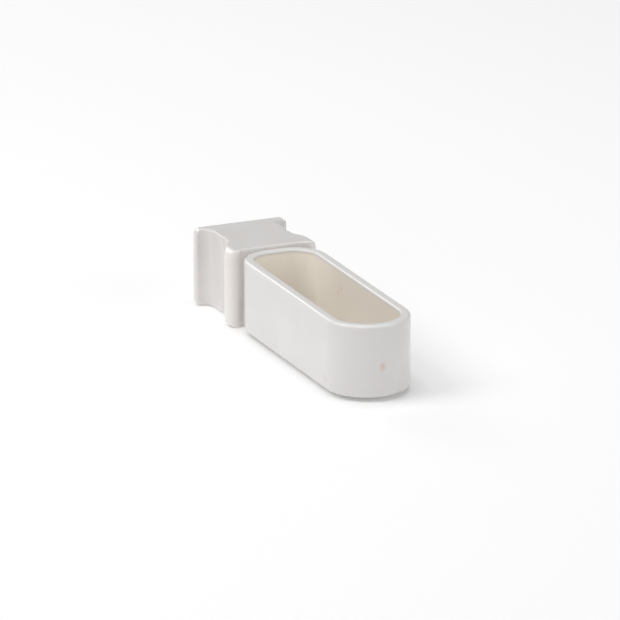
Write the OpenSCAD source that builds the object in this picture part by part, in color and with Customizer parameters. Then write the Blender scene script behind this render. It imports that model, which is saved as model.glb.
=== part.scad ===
// Clip-on finger feeder for a wire cage: a spool-shaped clip that two cage wires grip,
// and a long open cup with a round nose that plugs into the clip's front.
// +Z is up and the cup reaches out along -Y. The origin is midway between the two
// wire seats, in the plane of the wires and at half the height of the clip.

/* [Cage wires] */
// Diameter of one cage wire
wire_d = 1.45; // [1.2:0.05:2]
// Free gap between the two wires that grip the clip
wire_gap = 13; // [12:0.1:15]

/* [Clip] */
// Height of the clip
clip_h = 15.8; // [14:0.1:20]
// Width of the flange behind the wires
back_w = 19.6; // [17:0.1:24]
// Distance from the wires to the back face
back_reach = 8.8; // [7:0.1:12]
// Thickness of the back flange's ears
lip_t = 1.7; // [1.2:0.1:3]
// Radius of the edges of those ears
lip_edge_r = 0.4; // [0.2:0.05:0.6]
// Radius of the hollow between those ears and the waist
lip_fillet_r = 1.9; // [0.8:0.1:2.2]
// Radius of the back flange's corners, seen from behind
back_corner_r = 1.4; // [0.5:0.1:2]
// Width over the two rounded beads in front of the wires
front_w = 19.3; // [17:0.1:24]
// Distance from the wires to the face that the cup seats on
seat_reach = 8.5; // [7:0.1:12]
// Radius of the beads at the ends of the front flange
bead_r = 1.8; // [1:0.1:2.5]
// How far the beads stand in front of the seat face
bead_proud = 0.5; // [0.2:0.1:1]
// Radius of the front flange's corners, seen from the front
front_corner_r = 1.9; // [0.5:0.1:2.2]
// Depth of each wire seat in the side of the waist
wire_seat_depth = 0.45; // [0.4:0.05:0.6]
// Wall of the clip round its socket and its core
clip_wall = 1.9; // [1.4:0.1:2.4]

/* [Cup] */
// Length of the cup from its rear face to the tip of its nose
cup_l = 53.75; // [40:0.25:80]
// Width of the cup
cup_w = 17; // [15:0.1:24]
// Height of the cup
cup_h = 14.6; // [12:0.1:18]
// Thickness of the cup's wall
cup_wall = 2; // [1.4:0.05:3]
// Thickness of the cup's floor
cup_floor = 2; // [1.4:0.1:3]
// How far the rim lies below the top of the clip
rim_drop = 0.5; // [0:0.1:2]
// Radius of the two edges of the rim
rim_edge_r = 0.5; // [0.2:0.05:0.7]
// Radius of the cup's rear corners
rear_corner_r = 6.8; // [3:0.1:7.4]
// Radius of the rounded edge under the cup
foot_r = 0.9; // [0.4:0.1:1.4]

/* [Plug] */
// Width of the plug on the cup's back
plug_w = 9; // [6:0.1:10]
// Height of the plug
plug_h = 9; // [6:0.1:10]
// Length of the plug
plug_l = 6.5; // [4:0.1:8]
// Wall of the hollow plug
plug_wall = 1.5; // [1:0.1:2]
// Radius of the plug's edges
plug_edge_r = 0.8; // [0.3:0.1:1.2]

/* [Clearances] */
// Gap between the plug and each wall of its socket
plug_gap = 0.1; // [0.05:0.05:0.3]
// Gap between the cup's rear face and the seat face
seat_gap = 0.25; // [0.1:0.05:0.5]
// Gap between the end of the plug and the end of its socket
plug_end_gap = 0.5; // [0.3:0.1:1]
// How much wider than the wire each wire seat is
wire_fit = 0.05; // [0:0.05:0.2]

/* [Hidden] */

$fn = 64;
past = 1; // how far a cutter runs past the face that it opens
tuck = 0.1; // how far the end of one shape lies inside the shape that it joins

wire_seat_r = (wire_d + wire_fit) / 2;
wire_seat_x = wire_gap / 2 + wire_seat_r;
waist_x = wire_gap / 2 + wire_seat_depth;
lip_y = back_reach - lip_t;

bead_x = front_w / 2 - bead_r;
bead_y = bead_r - bead_proud - seat_reach;
flare_angle = 30; // of the front flange's flanks, from the way that the cup points
flank_r = bead_r - tuck;
flare_y = bead_y + flank_r * sin(flare_angle)
        + (bead_x + flank_r * cos(flare_angle) - waist_x) / tan(flare_angle);

cup_back_y = -seat_reach - seat_gap;
cup_top_z = clip_h / 2 - rim_drop;
cup_bottom_z = cup_top_z - cup_h;
nose_r = cup_w / 2;
nose_y = cup_back_y - cup_l + nose_r;
corner_x = cup_w / 2 - rear_corner_r;
corner_y = cup_back_y - rear_corner_r;

socket_end_y = cup_back_y + plug_l + plug_end_gap;
core_start_y = socket_end_y + clip_wall;
core_x = waist_x - clip_wall;

// Box with its long edges along Y rounded, from y0 back to y1
module bar_along_y(w, h, r, y0, y1) {
    translate([0, y1, 0]) rotate([90, 0, 0]) linear_extrude(y1 - y0) {
        square([w - 2 * r, h], center = true);
        square([w, h - 2 * r], center = true);
        for (x = [-1, 1], z = [-1, 1])
            translate([x * (w / 2 - r), z * (h / 2 - r)]) circle(r);
    }
}

// One side of the clip seen from above: square-ended ear, waist and flared bead
module clip_side_outline() {
    translate([0, lip_y]) square([back_w / 2 - lip_edge_r, lip_t]);
    translate([0, lip_y + lip_edge_r]) square([back_w / 2, lip_t - 2 * lip_edge_r]);
    for (y = [lip_y + lip_edge_r, back_reach - lip_edge_r])
        translate([back_w / 2 - lip_edge_r, y]) circle(lip_edge_r);
    difference() {
        translate([0, lip_y - lip_fillet_r])
            square([waist_x + lip_fillet_r, lip_fillet_r + tuck]);
        translate([waist_x + lip_fillet_r, lip_y - lip_fillet_r]) circle(lip_fillet_r);
    }
    translate([bead_x, bead_y]) circle(bead_r);
    polygon([
        [0, flare_y],
        [0, -seat_reach],
        [bead_x, -seat_reach],
        [bead_x, bead_y],
        [bead_x + flank_r * cos(flare_angle), bead_y + flank_r * sin(flare_angle)],
        [waist_x - tuck, flare_y + tuck / tan(flare_angle)]
    ]);
}

module clip_outline() {
    translate([-waist_x, -seat_reach]) square([2 * waist_x, seat_reach + back_reach]);
    clip_side_outline();
    mirror([1, 0]) clip_side_outline();
}

// The clip: two flanges with a waist between them, a wire seat in each side of the
// waist, a socket for the plug in front and a hollow core that opens underneath
module clip() {
    color([0.86, 0.85, 0.83])
    difference() {
        intersection() {
            translate([0, 0, -clip_h / 2]) linear_extrude(clip_h) clip_outline();
            union() {
                bar_along_y(back_w, clip_h, back_corner_r, -tuck, back_reach + past);
                bar_along_y(front_w, clip_h, front_corner_r,
                            -seat_reach - bead_proud - past, 0);
            }
        }
        for (side = [-1, 1])
            translate([side * wire_seat_x, 0, -clip_h / 2 - past])
                cylinder(r = wire_seat_r, h = clip_h + 2 * past);
        bar_along_y(plug_w + 2 * plug_gap, plug_h + 2 * plug_gap, plug_edge_r + plug_gap,
                    -seat_reach - past, socket_end_y);
        translate([-core_x, core_start_y, -clip_h / 2 - past])
            cube([2 * core_x, back_reach - clip_wall - core_start_y, clip_h + past - clip_wall]);
    }
}

// Upright section of the cup from its centre line to its outer face: the floor with a
// rounded foot, a straight wall and a flat rim with rounded edges
module cup_section(reach) {
    translate([0, cup_bottom_z]) square([reach - foot_r, cup_floor]);
    intersection() {
        translate([reach - foot_r, cup_bottom_z + foot_r]) circle(foot_r);
        translate([reach - foot_r, cup_bottom_z]) square(foot_r);
    }
    translate([reach - cup_wall, cup_bottom_z + foot_r])
        square([cup_wall, cup_h - foot_r - rim_edge_r]);
    translate([reach - cup_wall + rim_edge_r, cup_top_z - rim_edge_r])
        square([cup_wall - 2 * rim_edge_r, rim_edge_r]);
    for (x = [reach - cup_wall + rim_edge_r, reach - rim_edge_r])
        translate([x, cup_top_z - rim_edge_r]) circle(rim_edge_r);
}

// The cup: its section runs round the nose, along both sides, round the rear corners
// and across the rear
module cup() {
    color([0.88, 0.87, 0.85]) {
        translate([0, nose_y, 0]) rotate([0, 0, 180])
            rotate_extrude(angle = 180, $fn = 96) cup_section(nose_r);
        for (side = [0, 1]) mirror([side, 0, 0]) {
            translate([0, corner_y, 0]) rotate([90, 0, 0])
                linear_extrude(corner_y - nose_y) cup_section(cup_w / 2);
            translate([corner_x, corner_y, 0])
                rotate_extrude(angle = 90, $fn = 96) cup_section(rear_corner_r);
            translate([0, corner_y, 0]) rotate([90, 0, 90])
                linear_extrude(corner_x) cup_section(rear_corner_r);
        }
        plug();
    }
}

// Hollow plug on the cup's back, with the cup's rear wall closing its front end
module plug() {
    difference() {
        bar_along_y(plug_w, plug_h, plug_edge_r, cup_back_y - cup_wall / 2, cup_back_y + plug_l);
        bar_along_y(plug_w - 2 * plug_wall, plug_h - 2 * plug_wall, plug_edge_r / 2,
                    cup_back_y, cup_back_y + plug_l + past);
    }
}

clip();
cup();
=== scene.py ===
import math
import bmesh
import bpy
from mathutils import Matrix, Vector


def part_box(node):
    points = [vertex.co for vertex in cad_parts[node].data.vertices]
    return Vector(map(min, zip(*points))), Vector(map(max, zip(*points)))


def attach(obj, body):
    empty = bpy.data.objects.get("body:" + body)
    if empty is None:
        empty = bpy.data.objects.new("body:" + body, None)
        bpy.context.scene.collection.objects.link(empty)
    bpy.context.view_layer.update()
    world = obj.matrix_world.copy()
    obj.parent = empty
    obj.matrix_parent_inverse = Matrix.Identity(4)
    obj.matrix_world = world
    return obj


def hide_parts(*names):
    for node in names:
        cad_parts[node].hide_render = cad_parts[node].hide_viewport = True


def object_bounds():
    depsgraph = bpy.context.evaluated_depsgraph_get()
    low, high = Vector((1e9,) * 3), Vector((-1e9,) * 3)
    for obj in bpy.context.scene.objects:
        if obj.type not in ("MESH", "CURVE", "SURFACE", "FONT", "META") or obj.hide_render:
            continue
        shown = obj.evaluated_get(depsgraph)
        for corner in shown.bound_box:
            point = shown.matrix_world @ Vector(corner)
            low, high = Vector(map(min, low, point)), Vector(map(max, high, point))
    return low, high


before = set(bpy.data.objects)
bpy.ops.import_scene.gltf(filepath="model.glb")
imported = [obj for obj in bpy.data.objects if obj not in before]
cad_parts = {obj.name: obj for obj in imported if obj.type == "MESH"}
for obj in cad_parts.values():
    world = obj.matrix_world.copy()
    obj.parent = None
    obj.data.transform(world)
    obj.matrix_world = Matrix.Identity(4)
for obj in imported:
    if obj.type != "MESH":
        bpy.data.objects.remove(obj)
mm = 0.001
cadLow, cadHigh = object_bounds()
cupLow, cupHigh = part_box("cup")
print("frame loaded")


# the view that the pictures are taken from
camera = {
    "azimuth": -23.42,
    "elevation": 17.71,
    "roll": -0.058,
    "distance": 1.7804,  # m
    "lens": 522.6,  # mm, for a sensor 36 mm wide
    "aim": Vector((11.62, 0.0, -9.33)) * mm,  # the point in the middle of the picture
}


def makeCamera():
    data = bpy.data.cameras.new("camera")
    data.lens = camera["lens"]
    data.sensor_width = 36
    data.dof.use_dof = False
    obj = bpy.data.objects.new("camera", data)
    bpy.context.collection.objects.link(obj)
    turn = math.radians(camera["azimuth"])
    rise = math.radians(camera["elevation"])
    away = Vector((math.sin(turn) * math.cos(rise), -math.cos(turn) * math.cos(rise), math.sin(rise)))
    obj.location = camera["aim"] + away * camera["distance"]
    obj.rotation_euler = (-away).to_track_quat("-Z", "Y").to_euler()
    obj.rotation_euler.rotate_axis("Z", math.radians(camera["roll"]))
    bpy.context.scene.camera = obj


makeCamera()


def linkObject(name, mesh):
    obj = bpy.data.objects.new(name, mesh)
    bpy.context.scene.collection.objects.link(obj)
    return obj


def plainMesh(obj):
    # the modifiers' result as a plain mesh, and the modifiers gone
    graph = bpy.context.evaluated_depsgraph_get()
    mesh = bpy.data.meshes.new_from_object(obj.evaluated_get(graph))
    obj.modifiers.clear()
    obj.data = mesh
    mesh.name = obj.name
    return obj


def socketId(tree, name):
    return next(i.identifier for i in tree.interface.items_tree if i.name == name and i.in_out == "INPUT")


class Nodes:
    # short way to add and join nodes in one tree
    def __init__(self, tree):
        self.tree = tree
        self.column = 0

    def add(self, kind, links=None, **settings):
        node = self.tree.nodes.new(kind)
        node.location = (self.column % 12 * 190, -(self.column // 12) * 260)
        self.column += 1
        for key, value in settings.items():
            setattr(node, key, value)
        for key, value in (links or {}).items():
            self.put(node.inputs[key], value)
        return node

    def put(self, socket, value):
        if isinstance(value, bpy.types.NodeSocket):
            self.tree.links.new(value, socket)
        else:
            socket.default_value = value

    def math(self, operation, a, b=0.0):
        return self.add("ShaderNodeMath", {0: a, 1: b}, operation=operation).outputs[0]

    def vector(self, x, y, z=0.0):
        return self.add("ShaderNodeCombineXYZ", {0: x, 1: y, 2: z}).outputs[0]

    def ramp(self, value, start, end, low=0.0, high=1.0):
        return self.add("ShaderNodeMapRange", {"Value": value, "From Min": start, "From Max": end,
                                               "To Min": low, "To Max": high}).outputs[0]

    def blend(self, factor, first, second):
        # a Mix node's colours go into sockets 6 and 7 and come out of socket 2
        node = self.add("ShaderNodeMix", data_type="RGBA")
        self.put(node.inputs["Factor"], factor)
        self.put(node.inputs[6], first)
        self.put(node.inputs[7], second)
        return node.outputs[2]


def opaque(colour):
    return (*colour, 1)


# both mouldings are one ivory-white plastic
plastic = {
    "driftTint": (0.965, 0.955, 0.945),  # slow drift of tone across a moulding
    "driftSize": 9,  # mm
    "speckColour": (0.42, 0.33, 0.25),
    "speckSpacing": 3.2,  # mm
    "speckShare": 0.03,  # how many of the places for a speck have one
    "speckStrength": 0.55,
    "grainSize": 0.35,  # mm, faint skin of the mould
    "grainDepth": 0.006,  # mm
    "rippleSize": 5.5,  # mm, slight sink of the walls
    "rippleDepth": 0.03,  # mm
    "roughness": (0.34, 0.43),
    "roughnessSize": 2.4,  # mm
    "skinGloss": 0.7,  # thin glossier skin that catches light on the edges
    "skinRoughness": 0.18,
    "subsurface": 0.12,
    "subsurfaceReach": 1.2,  # mm
    "subsurfaceTint": (1.0, 0.8, 0.6),
}


def noise(n, place, size, detail=2.0):
    return n.add("ShaderNodeTexNoise", {"Vector": place, "Scale": 1 / (size * mm), "Detail": detail}).outputs[0]


def band(n, value, limits, base=0.0):
    return n.ramp(value, base + limits[0] * mm, base + limits[1] * mm)


def specks(n, colour, moved):
    cells = n.add("ShaderNodeTexVoronoi", {"Vector": moved, "Scale": 1 / (plastic["speckSpacing"] * mm)})
    chance = n.add("ShaderNodeSeparateColor", {0: cells.outputs["Color"]}).outputs[0]
    rare = n.math("GREATER_THAN", chance, 1 - plastic["speckShare"])
    near = n.ramp(cells.outputs["Distance"], 0.03, 0.07, 1.0, 0.0)
    speck = n.math("MULTIPLY", n.math("MULTIPLY", rare, near), plastic["speckStrength"])
    return n.blend(speck, colour, opaque(plastic["speckColour"]))


def makePlastic(name, tone, paint):
    mat = bpy.data.materials.new(name)
    mat.use_nodes = True
    n = Nodes(mat.node_tree)
    shader = mat.node_tree.nodes["Principled BSDF"]
    place = n.add("ShaderNodeTexCoord").outputs["Object"]
    seed = tone["seed"]
    moved = n.add("ShaderNodeMapping", {"Vector": place, "Location": (seed, seed * 0.7, seed * 0.3)}).outputs[0]

    drift = n.ramp(noise(n, moved, plastic["driftSize"]), 0.3, 0.7)
    drifted = [a * b for a, b in zip(tone["colour"], plastic["driftTint"])]
    colour = n.blend(drift, opaque(tone["colour"]), opaque(drifted))
    colour = paint(n, shader, colour, place, moved)
    n.put(shader.inputs["Base Color"], colour)

    n.put(shader.inputs["Roughness"], n.ramp(noise(n, moved, plastic["roughnessSize"], 4.0), 0.35, 0.65,
                                             *plastic["roughness"]))
    grain = n.add("ShaderNodeBump", {"Height": noise(n, moved, plastic["grainSize"], 3.0), "Strength": 1.0,
                                     "Distance": plastic["grainDepth"] * mm})
    ripple = n.add("ShaderNodeBump", {"Height": noise(n, moved, plastic["rippleSize"], 1.0), "Strength": 1.0,
                                      "Distance": plastic["rippleDepth"] * mm, "Normal": grain.outputs[0]})
    n.put(shader.inputs["Normal"], ripple.outputs[0])
    shader.inputs["IOR"].default_value = 1.5
    shader.inputs["Coat Weight"].default_value = plastic["skinGloss"]
    shader.inputs["Coat Roughness"].default_value = plastic["skinRoughness"]
    shader.inputs["Subsurface Weight"].default_value = plastic["subsurface"]
    shader.inputs["Subsurface Radius"].default_value = plastic["subsurfaceTint"]
    shader.inputs["Subsurface Scale"].default_value = plastic["subsurfaceReach"] * mm
    return mat


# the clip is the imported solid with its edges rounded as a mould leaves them
clip = {
    "grid": 0.2,  # mm, size of the even mesh that takes the rounding
    "softening": 7,  # passes, each takes a little more off the edges
    "mergeWithin": 0.002,  # mm
    "seed": 0.013,
    "colour": (0.80, 0.778, 0.765),
    "frontPaintedLightColour": (0.89, 0.848, 0.815),  # painted light: the front flange's ends and face are made lighter, as if lit through their thin plastic
    "endSideways": (7.4, 9.0),  # mm, where the ends' painted light starts and where it is full
    "endForward": (-3.6, -5.6),
    "faceForward": (-8.0, -8.8),
}


def paintClip(n, shader, colour, place, moved):
    spot = n.add("ShaderNodeSeparateXYZ", {0: place}).outputs
    side = band(n, n.math("ABSOLUTE", spot["X"]), clip["endSideways"])
    forward = band(n, spot["Y"], clip["endForward"])
    face = band(n, spot["Y"], clip["faceForward"])
    # painted light: lighter ends and face on the front flange
    paintedLight = n.math("MAXIMUM", n.math("MULTIPLY", side, forward), face)
    return specks(n, n.blend(paintedLight, colour, opaque(clip["frontPaintedLightColour"])), moved)


clipPlastic = makePlastic("ivoryClipPlastic", clip, paintClip)


def makeClip():
    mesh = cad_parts["clip"].data.copy()
    mesh.materials.clear()
    bm = bmesh.new()
    bm.from_mesh(mesh)
    bmesh.ops.remove_doubles(bm, verts=bm.verts, dist=clip["mergeWithin"] * mm)
    bm.to_mesh(mesh)
    bm.free()
    obj = linkObject("clipBody", mesh)
    even = obj.modifiers.new("even", "REMESH")
    even.mode = "VOXEL"
    even.voxel_size = clip["grid"] * mm
    even.use_smooth_shade = True
    soften = obj.modifiers.new("soften", "SMOOTH")
    soften.factor = 0.5
    soften.iterations = clip["softening"]
    plainMesh(obj)
    obj.data.materials.clear()
    obj.data.materials.append(clipPlastic)
    return obj


clipBody = makeClip()
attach(clipBody, "clip")
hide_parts("clip")
print("clip made", len(clipBody.data.polygons))


# the plug is a hollow square ring on the cup's back
plug = {
    "width": 9.0,
    "wall": 1.5,
    "cornerRadius": 0.8,
    "leastCorner": 0.25,  # mm, at the inside of the ring
    "length": 6.5,
    "buried": 1.0,  # mm inside the cup's rear wall
    "lead": 0.35,  # mm, rounded end that goes in first
    "cornerSteps": 6,
    "edgeSteps": 4,
}

# the cup is one section swept round a rounded path, with its floor filled in
cup = {
    "Length": (cupHigh.y - cupLow.y) / mm - plug["length"],
    "Width": (cupHigh.x - cupLow.x) / mm,
    "Height": (cupHigh.z - cupLow.z) / mm,
    "Wall": 2.0,
    "Floor": 2.0,
    "Rear corner": 6.8,
    "Foot radius": 0.9,
    "Rim outer radius": 0.6,
    "Rim inner radius": 0.4,
    "Well fillet": 2.2,
    "Floor overlap": 0.4,  # mm, how far the swept floor reaches in past the fillet
    "Nose steps": 26,
    "Corner steps": 16,
    "Edge steps": 6,
}


# tones of the cup, with painted light on its rim and in its well
cupTone = {
    "seed": 0.041,
    "colour": (0.76, 0.745, 0.74),
    "rimPaintedLightColour": (0.83, 0.82, 0.805),  # painted light: the rim is made lighter, for light that comes up through the wall
    "rimBelow": (-0.7, -0.2),  # mm from the rim, where its painted light starts and where it is full
    "wellPaintedLightColour": (0.78, 0.732, 0.665),  # painted light: the well is made warmer, for the light that the walls pass on
    "wellEdge": 0.05,  # share of the well's wall over which its painted light comes in
    "glow": 0.19,  # painted light: emission standing in for daylight that comes through the thin walls, most at the rear of the well
    "glowColour": (1.0, 0.93, 0.80),
    "glowBehind": (-24, -9),  # mm from the plug's end
    "glowAtNose": 0.25,
    "glowAtFloor": 0.2,
    "stainColour": (0.66, 0.45, 0.32),
    "stainGrain": 0.5,  # mm, how fine the ragged edge of a stain is
    "stainRagged": 1.6,
    "stains": [  # centre and half sizes in mm, with y from the middle of the cup's box, and strength
        ((-0.3, -30.1, -0.9), (0.85, 0.9, 1.15), 0.45),
        ((-8.5, -21.3, -4.9), (0.5, 1.2, 1.0), 0.3),
        ((6.5, 5.2, 3.5), (0.4, 0.8, 0.75), 0.3),
        ((6.5, 6.8, 2.2), (0.4, 0.9, 0.7), 0.28),
        ((5.1, 20.2, 3.4), (0.8, 0.8, 1.5), 0.14),
        ((-4.5, -28.6, 6.0), (2.6, 1.8, 0.4), 0.12),
    ],
}


def stains(n, colour, place, moved):
    middle = (cupLow + cupHigh) / 2
    for (x, y, z), half, strength in cupTone["stains"]:
        centre = Vector((x * mm, middle.y + y * mm, z * mm))
        away = n.add("ShaderNodeVectorMath", {0: place, 1: centre}, operation="SUBTRACT").outputs[0]
        shrink = [1 / (h * mm) for h in half]
        scaled = n.add("ShaderNodeVectorMath", {0: away, 1: shrink}, operation="MULTIPLY").outputs[0]
        length = n.add("ShaderNodeVectorMath", {0: scaled}, operation="LENGTH").outputs["Value"]
        rough = n.math("SUBTRACT", noise(n, moved, cupTone["stainGrain"]), 0.5)
        ragged = n.math("ADD", length, n.math("MULTIPLY", rough, cupTone["stainRagged"]))
        mark = n.ramp(ragged, 0.3, 1.0, strength, 0.0)
        colour = n.blend(mark, colour, opaque(cupTone["stainColour"]))
    return colour


def paintCup(n, shader, colour, place, moved):
    spot = n.add("ShaderNodeSeparateXYZ", {0: place}).outputs
    depth = n.add("ShaderNodeAttribute", attribute_name="well").outputs["Fac"]  # grows from the rim to the floor
    inside = n.ramp(depth, 0.0, cupTone["wellEdge"])
    # painted light: the rim is made lighter
    colour = n.blend(band(n, spot["Z"], cupTone["rimBelow"], cupHigh.z), colour, opaque(cupTone["rimPaintedLightColour"]))
    # painted light: the well is made warmer
    colour = n.blend(inside, colour, opaque(cupTone["wellPaintedLightColour"]))
    colour = stains(n, specks(n, colour, moved), place, moved)

    # painted light: the well glows, most at its rear and less towards the floor
    start, end = (cupHigh.y + y * mm for y in cupTone["glowBehind"])
    rear = n.ramp(spot["Y"], start, end, cupTone["glow"] * cupTone["glowAtNose"], cupTone["glow"])
    high = n.ramp(spot["Z"], cupLow.z + cup["Floor"] * mm, cupHigh.z, cupTone["glowAtFloor"], 1.0)
    n.put(shader.inputs["Emission Strength"], n.math("MULTIPLY", n.math("MULTIPLY", rear, high), inside))
    shader.inputs["Emission Color"].default_value = opaque(cupTone["glowColour"])
    return colour


cupPlastic = makePlastic("ivoryCupPlastic", cupTone, paintCup)


def cupTree():
    tree = bpy.data.node_groups.new("cupSweep", "GeometryNodeTree")
    tree.is_modifier = True
    face = tree.interface
    for name, value in cup.items():
        kind = "NodeSocketInt" if isinstance(value, int) else "NodeSocketFloat"
        face.new_socket(name=name, in_out="INPUT", socket_type=kind).default_value = value
    face.new_socket(name="Front end", in_out="INPUT", socket_type="NodeSocketFloat")
    face.new_socket(name="Base", in_out="INPUT", socket_type="NodeSocketFloat")
    face.new_socket(name="Finish", in_out="INPUT", socket_type="NodeSocketMaterial")
    face.new_socket(name="Geometry", in_out="OUTPUT", socket_type="NodeSocketGeometry")
    n = Nodes(tree)
    size = n.add("NodeGroupInput").outputs
    half = n.math("MULTIPLY", size["Width"], 0.5)
    flat = n.math("ADD", n.math("ADD", size["Wall"], size["Well fillet"]), size["Floor overlap"])

    # path, in mm: a rectangle whose front corners meet in a half circle
    outline = n.add("GeometryNodeCurvePrimitiveQuadrilateral", {"Width": size["Width"], "Height": size["Length"]})
    middle = n.math("ADD", size["Front end"], n.math("MULTIPLY", size["Length"], 0.5))
    placed = n.add("GeometryNodeSetPosition", {"Geometry": outline.outputs[0], "Offset": n.vector(0.0, middle)})
    where = n.add("ShaderNodeSeparateXYZ", {0: n.add("GeometryNodeInputPosition").outputs[0]}).outputs["Y"]
    front = n.math("LESS_THAN", where, middle)
    rounding = n.add("GeometryNodeSwitch", {"Switch": front, "False": size["Rear corner"],
                                            "True": half}, input_type="FLOAT")
    steps = n.add("GeometryNodeSwitch", {"Switch": front, "False": size["Corner steps"],
                                         "True": size["Nose steps"]}, input_type="INT")
    path = n.add("GeometryNodeFilletCurve", {"Curve": placed.outputs[0], "Count": steps.outputs[0],
                                             "Radius": rounding.outputs[0], "Limit Radius": True}, mode="POLY")
    # the nose's two quarters share their middle point, so it is merged
    edges = n.add("GeometryNodeCurveToMesh", {"Curve": path.outputs[0]})
    shared = n.add("GeometryNodeMergeByDistance", {"Geometry": edges.outputs[0], "Distance": 0.05})
    loop = n.add("GeometryNodeMeshToCurve", {"Mesh": shared.outputs[0]})
    upright = n.add("GeometryNodeSetCurveNormal", {"Curve": loop.outputs[0]}, mode="Z_UP").outputs[0]

    # section: x runs inwards from the outer face, y up from the base; the path turns both round
    corners = [(flat, 0.0), (0.0, 0.0), (0.0, size["Height"]), (size["Wall"], size["Height"]),
               (size["Wall"], size["Floor"]), (flat, size["Floor"])]
    radii = [0.0, size["Foot radius"], size["Rim outer radius"], size["Rim inner radius"], size["Well fillet"], 0.0]
    line = n.add("GeometryNodeMeshLine", {"Count": len(corners)})
    number = n.add("GeometryNodeInputIndex").outputs[0]
    spot = n.add("GeometryNodeIndexSwitch", data_type="VECTOR")
    bend = n.add("GeometryNodeIndexSwitch", data_type="FLOAT")
    for switch in (spot, bend):
        for _ in corners[2:]:
            switch.index_switch_items.new()
        n.put(switch.inputs[0], number)
    for i, (x, y) in enumerate(corners):
        n.put(spot.inputs[i + 1], n.vector(n.math("MULTIPLY", x, -1.0), n.math("MULTIPLY", y, -1.0)))
        n.put(bend.inputs[i + 1], radii[i])
    shaped = n.add("GeometryNodeSetPosition", {"Geometry": line.outputs[0], "Position": spot.outputs[0]})
    curve = n.add("GeometryNodeMeshToCurve", {"Mesh": shaped.outputs[0]})
    inWell = n.math("GREATER_THAN", number, 3.5)
    marked = n.add("GeometryNodeStoreNamedAttribute",
                   {"Geometry": curve.outputs[0], "Name": "well", "Value": inWell},
                   data_type="FLOAT", domain="POINT")
    section = n.add("GeometryNodeFilletCurve", {"Curve": marked.outputs[0], "Count": size["Edge steps"],
                                                "Radius": bend.outputs[0], "Limit Radius": True}, mode="POLY")
    wall = n.add("GeometryNodeCurveToMesh", {"Curve": upright, "Profile Curve": section.outputs[0],
                                             "Fill Caps": False})

    # floor: the path moved in to where the swept floor ends, filled above and below
    inwards = n.add("ShaderNodeVectorMath", {0: n.add("GeometryNodeInputNormal").outputs[0],
                                             3: n.math("MULTIPLY", flat, -1.0)}, operation="SCALE").outputs[0]
    inner = n.add("GeometryNodeSetPosition", {"Geometry": upright, "Offset": inwards}).outputs[0]
    plate = n.add("GeometryNodeFillCurve", {"Curve": inner}, mode="NGONS").outputs[0]
    top = n.add("GeometryNodeSetPosition", {"Geometry": plate, "Offset": n.vector(0.0, 0.0, size["Floor"])})
    topMarked = n.add("GeometryNodeStoreNamedAttribute",
                      {"Geometry": top.outputs[0], "Name": "well", "Value": 1.0},
                      data_type="FLOAT", domain="POINT")
    under = n.add("GeometryNodeFlipFaces", {"Mesh": plate})
    joined = n.add("GeometryNodeJoinGeometry")
    for part in (under.outputs[0], topMarked.outputs[0], wall.outputs[0]):
        tree.links.new(part, joined.inputs[0])
    merged = n.add("GeometryNodeMergeByDistance", {"Geometry": joined.outputs[0], "Distance": 0.004})
    lifted = n.add("GeometryNodeSetPosition", {"Geometry": merged.outputs[0],
                                               "Offset": n.vector(0.0, 0.0, size["Base"])})
    inMetres = n.add("GeometryNodeTransform", {"Geometry": lifted.outputs[0], "Scale": (mm, mm, mm)})
    smooth = n.add("GeometryNodeSetShadeSmooth", {"Geometry": inMetres.outputs[0]})
    real = n.add("GeometryNodeRealizeInstances", {"Geometry": smooth.outputs[0]})
    finish = n.add("GeometryNodeSetMaterial", {"Geometry": real.outputs[0], "Material": size["Finish"]})
    n.add("NodeGroupOutput", {0: finish.outputs[0]})
    return tree


def makeCup():
    tree = cupTree()
    obj = linkObject("cupBody", bpy.data.meshes.new("cupBody"))
    sweep = obj.modifiers.new("sweep", "NODES")
    sweep.node_group = tree
    for name, value in cup.items():
        sweep[socketId(tree, name)] = value
    sweep[socketId(tree, "Front end")] = cupLow.y / mm
    sweep[socketId(tree, "Base")] = cupLow.z / mm
    sweep[socketId(tree, "Finish")] = cupPlastic
    plainMesh(obj)
    bm = bmesh.new()
    bm.from_mesh(obj.data)
    bmesh.ops.recalc_face_normals(bm, faces=bm.faces)
    print("cup open edges", sum(1 for e in bm.edges if not e.is_manifold), "volume mm3", bm.calc_volume() / mm ** 3)
    bm.to_mesh(obj.data)
    bm.free()
    return obj


cupBody = makeCup()
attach(cupBody, "cup")
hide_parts("cup")
print("cup made", len(cupBody.data.polygons))


def roundSquare(half, radius, y):
    points = []
    for quarter in range(4):
        start = quarter * math.pi / 2
        cx = (half - radius) * (1 if quarter in (0, 3) else -1)
        cz = (half - radius) * (1 if quarter in (0, 1) else -1)
        for step in range(plug["cornerSteps"] + 1):
            a = start + step / plug["cornerSteps"] * math.pi / 2
            points.append(Vector((cx + radius * math.cos(a), y, cz + radius * math.sin(a))) * mm)
    return points


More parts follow.
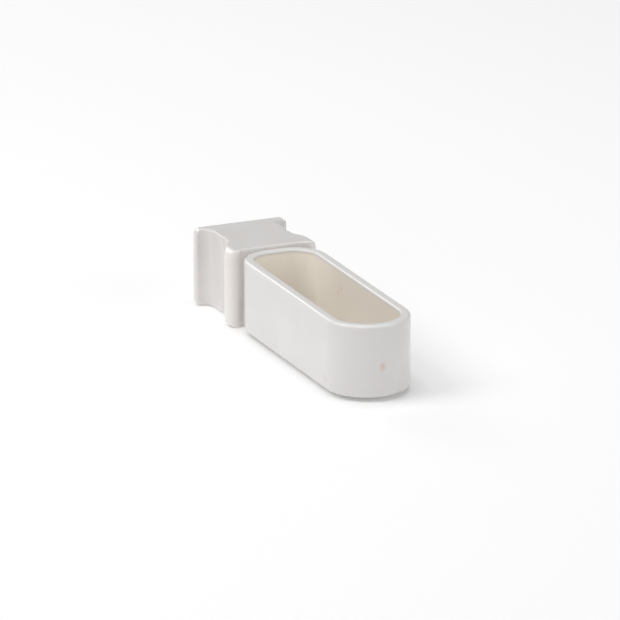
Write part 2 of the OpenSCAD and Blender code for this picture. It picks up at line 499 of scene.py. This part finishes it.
def makePlug():
    back = cupHigh.y / mm
    front = back - plug["length"] - plug["buried"]
    outer = plug["width"] / 2
    inner = outer - plug["wall"]
    r = plug["lead"]
    section = [(outer, front)]
    for step in range(plug["edgeSteps"] + 1):
        a = step / plug["edgeSteps"] * math.pi / 2
        section.append((outer - r + r * math.cos(a), back - r + r * math.sin(a)))
    for step in range(plug["edgeSteps"] + 1):
        a = math.pi / 2 + step / plug["edgeSteps"] * math.pi / 2
        section.append((inner + r + r * math.cos(a), back - r + r * math.sin(a)))
    section.append((inner, front))
    bm = bmesh.new()
    rings = []
    for half, y in section:
        radius = max(plug["cornerRadius"] - (outer - half), plug["leastCorner"])
        rings.append([bm.verts.new(p) for p in roundSquare(half, radius, y)])
    count = len(rings[0])
    for a, b in zip(rings, rings[1:] + rings[:1]):
        for i in range(count):
            bm.faces.new((a[i], a[(i + 1) % count], b[(i + 1) % count], b[i])).smooth = True
    bmesh.ops.recalc_face_normals(bm, faces=bm.faces)
    mesh = bpy.data.meshes.new("cupPlug")
    bm.to_mesh(mesh)
    bm.free()
    mesh.materials.append(cupPlastic)
    mesh.set_sharp_from_angle(angle=math.radians(50))
    return linkObject("cupPlug", mesh)


cupPlug = makePlug()
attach(cupPlug, "cup")
print("plug made", len(cupPlug.data.polygons))


# pale floor, soft light from above and the left, and a small lamp behind that lights the rim's edge
studio = {
    "floorSize": 6.0,  # m, as are the lamps' places and sizes
    "floorColour": (0.93, 0.93, 0.93),
    "floorShade": (0.91605, 0.91605, 0.91605),  # faint clouds in the floor's tone
    "floorBelow": 0.02,  # mm under the object
    "floorGlow": 0.12,
    "sky": 0.24,
    "lamps": {
        "keyLeft": {"from": (-0.6, 0.1, 0.7), "size": 0.5, "power": 2.95},
        "topSoft": {"from": (0.0, 0.0, 0.95), "size": 0.6, "power": 3.6},
        "leftFront": {"from": (-0.6, -0.7, 0.3), "size": 0.6, "power": 1.05},
        "rightFront": {"from": (0.6, -0.7, 0.3), "size": 0.6, "power": 1.4},
        "backSheen": {"from": (-0.15, 0.87, 0.45), "size": 0.35, "power": 1.1},
    },
}


def makeStudio():
    half = studio["floorSize"] / 2
    mesh = bpy.data.meshes.new("floor")
    z = cadLow.z - studio["floorBelow"] * mm
    mesh.from_pydata([(-half, -half, z), (half, -half, z), (half, half, z), (-half, half, z)], [], [(0, 1, 2, 3)])
    floor = linkObject("floor", mesh)
    mat = bpy.data.materials.new("paleFloor")
    mat.use_nodes = True
    n = Nodes(mat.node_tree)
    shader = mat.node_tree.nodes["Principled BSDF"]
    place = n.add("ShaderNodeTexCoord").outputs["Object"]
    cloud = n.add("ShaderNodeTexNoise", {"Vector": place, "Scale": 1.5, "Detail": 1.0}).outputs[0]
    tone = n.blend(cloud, opaque(studio["floorColour"]), opaque(studio["floorShade"]))
    n.put(shader.inputs["Base Color"], tone)
    shader.inputs["Roughness"].default_value = 0.9
    shader.inputs["Specular IOR Level"].default_value = 0.1
    shader.inputs["Emission Color"].default_value = (1, 1, 1, 1)
    shader.inputs["Emission Strength"].default_value = studio["floorGlow"]
    mesh.materials.append(mat)
    world = bpy.data.worlds.new("studio")
    world.use_nodes = True
    back = world.node_tree.nodes["Background"]
    back.inputs["Color"].default_value = (1, 1, 1, 1)
    back.inputs["Strength"].default_value = studio["sky"]
    bpy.context.scene.world = world
    for name, lamp in studio["lamps"].items():
        data = bpy.data.lights.new(name, "AREA")
        data.size = lamp["size"]
        data.energy = lamp["power"]
        obj = bpy.data.objects.new(name, data)
        bpy.context.scene.collection.objects.link(obj)
        obj.location = lamp["from"]
        obj.rotation_euler = (-Vector(lamp["from"])).to_track_quat("-Z", "Y").to_euler()
    bpy.context.scene.view_settings.view_transform = "Standard"
    bpy.context.scene.view_settings.look = "None"


makeStudio()
print("studio made")
